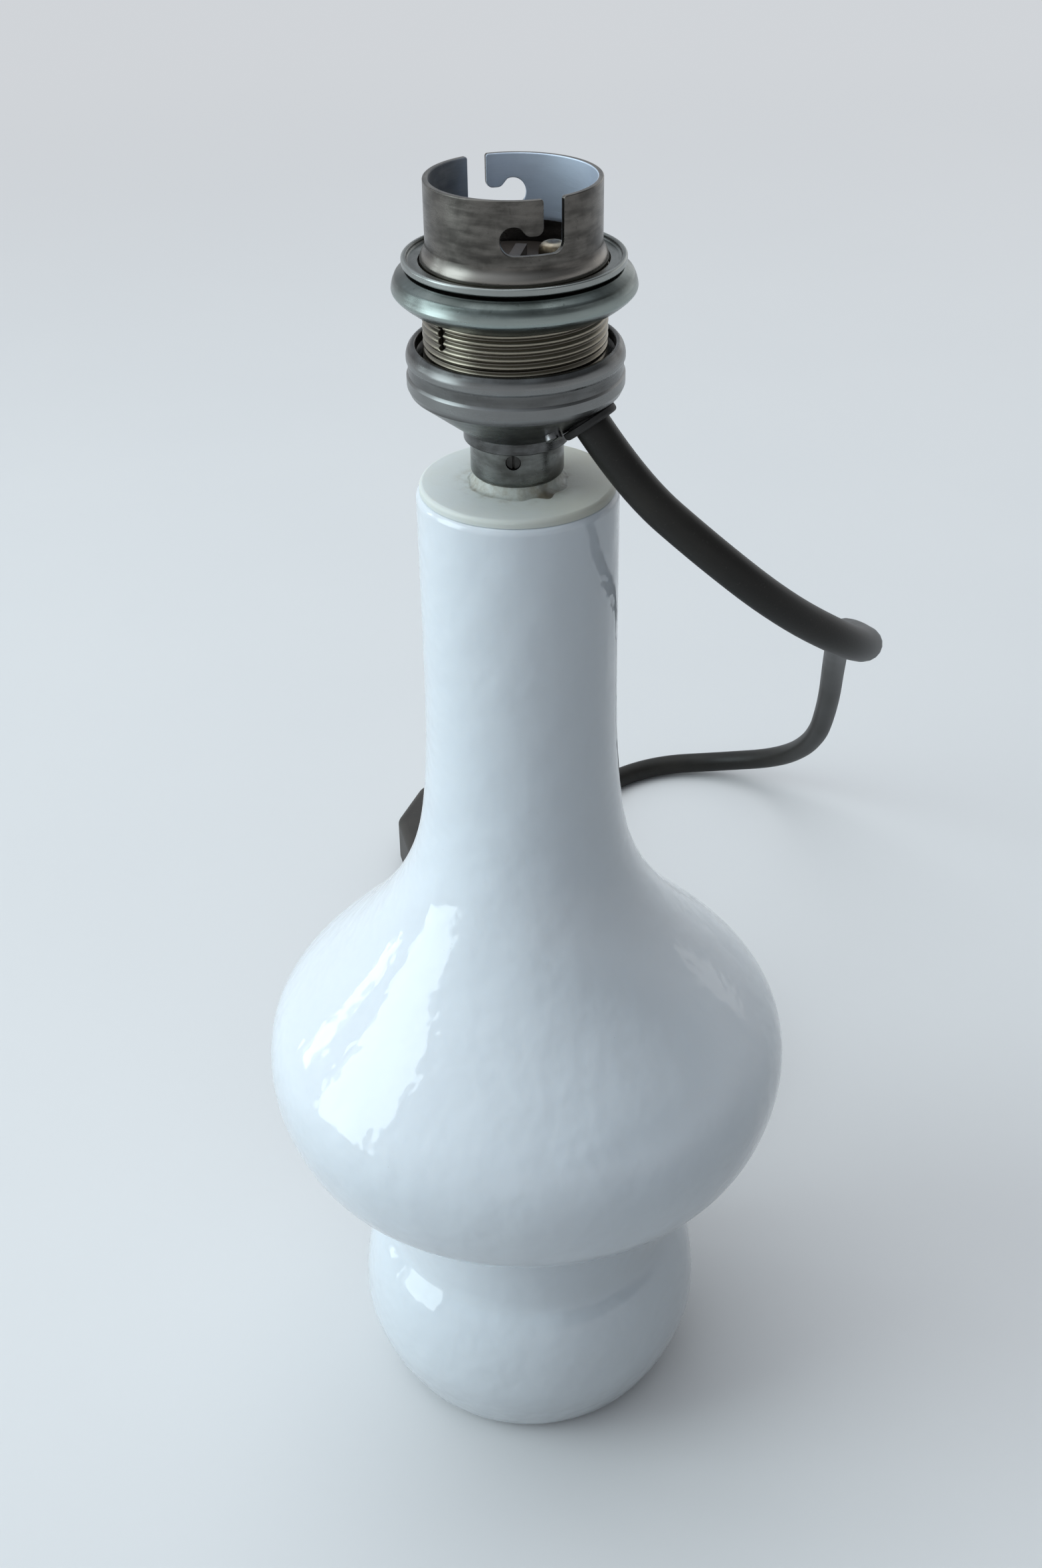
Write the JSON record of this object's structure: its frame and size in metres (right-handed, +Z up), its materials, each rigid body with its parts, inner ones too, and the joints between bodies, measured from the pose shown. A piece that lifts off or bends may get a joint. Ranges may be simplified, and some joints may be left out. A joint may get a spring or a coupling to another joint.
{
  "type": "lamp base",
  "caption": "Table-lamp base: hollow opal-glass body with a bayonet lampholder, threaded shade rings, side-exit cord and plug.",
  "frame": {"origin": "centre of the glass base, on the surface the lamp stands on", "axes": "+Z up along the glass body and the lampholder; -Y towards the side the picture shows; the cord leaves to +X"},
  "size_m": [0.1255, 0.2473, 0.2243],
  "materials": {
    "opal_glass": "glossy opal",
    "ivory_plastic": "satin, yellowed",
    "glue": "dried glue",
    "aged_nickel": "brass with a worn, tarnished nickel plating",
    "aged_brass": "brass showing through its plating",
    "zinc_steel": "zinc plated",
    "black_rubber": "satin",
    "blackened_steel": "blackened, oily",
    "dark_moulding": "dark brown moulded resin, satin",
    "contact_brass": "bright",
    "core_insulation": "satin",
    "cord_jacket": "satin",
    "plug_plastic": "fine moulded grain",
    "pin_metal": "nickel plated"
  },
  "bodies": {
    "root": {"glass_body": "opal_glass", "neck_stopper": "ivory_plastic", "tube_washer": "zinc_steel", "tube_nut": "zinc_steel", "threaded_tube": "zinc_steel", "glue_bead": "glue", "ferrule": "aged_nickel", "ferrule_grub_screw": "blackened_steel", "holder_cap": "aged_nickel", "cap_nut": "aged_brass", "cord_bush": "black_rubber", "clamp_screw": "zinc_steel", "cord_clamp": "zinc_steel", "bayonet_shell": "aged_nickel", "holder_insert": "dark_moulding", "insert_ring": "zinc_steel", "plunger_spring_a": "zinc_steel", "plunger_spring_b": "zinc_steel", "terminal_block_a": "contact_brass", "terminal_block_b": "contact_brass", "terminal_screws": "zinc_steel", "core_wires": "core_insulation", "cord": "cord_jacket", "cord_coil": "cord_jacket", "coil_tie": "black_rubber", "cord_tail": "cord_jacket", "plug_body": "plug_plastic", "plug_pins": "pin_metal"},
    "upper_ring": {"upper_shade_ring": "aged_nickel"},
    "lower_ring": {"lower_shade_ring": "aged_nickel"},
    "plunger_a": {"contact_plunger_a": "contact_brass"},
    "plunger_b": {"contact_plunger_b": "contact_brass"}
  },
  "joints": [
    {"name": "upper_ring_unscrew", "type": "slide", "parent": "root", "child": "upper_ring", "axis": [0, 0, 1], "range_m": [0, 0.009]},
    {"name": "lower_ring_screw", "type": "slide", "parent": "root", "child": "lower_ring", "axis": [0, 0, 1], "range_m": [-0.0052, 0]},
    {"name": "plunger_a_press", "type": "slide", "parent": "root", "child": "plunger_a", "axis": [0, 0, 1], "range_m": [-0.0035, 0], "stiffness_N_per_m": 600, "springref_m": 0.002, "deforming": ["plunger_spring_a"]},
    {"name": "plunger_b_press", "type": "slide", "parent": "root", "child": "plunger_b", "axis": [0, 0, 1], "range_m": [-0.0035, 0], "stiffness_N_per_m": 600, "springref_m": 0.002, "deforming": ["plunger_spring_b"]}
  ]
}
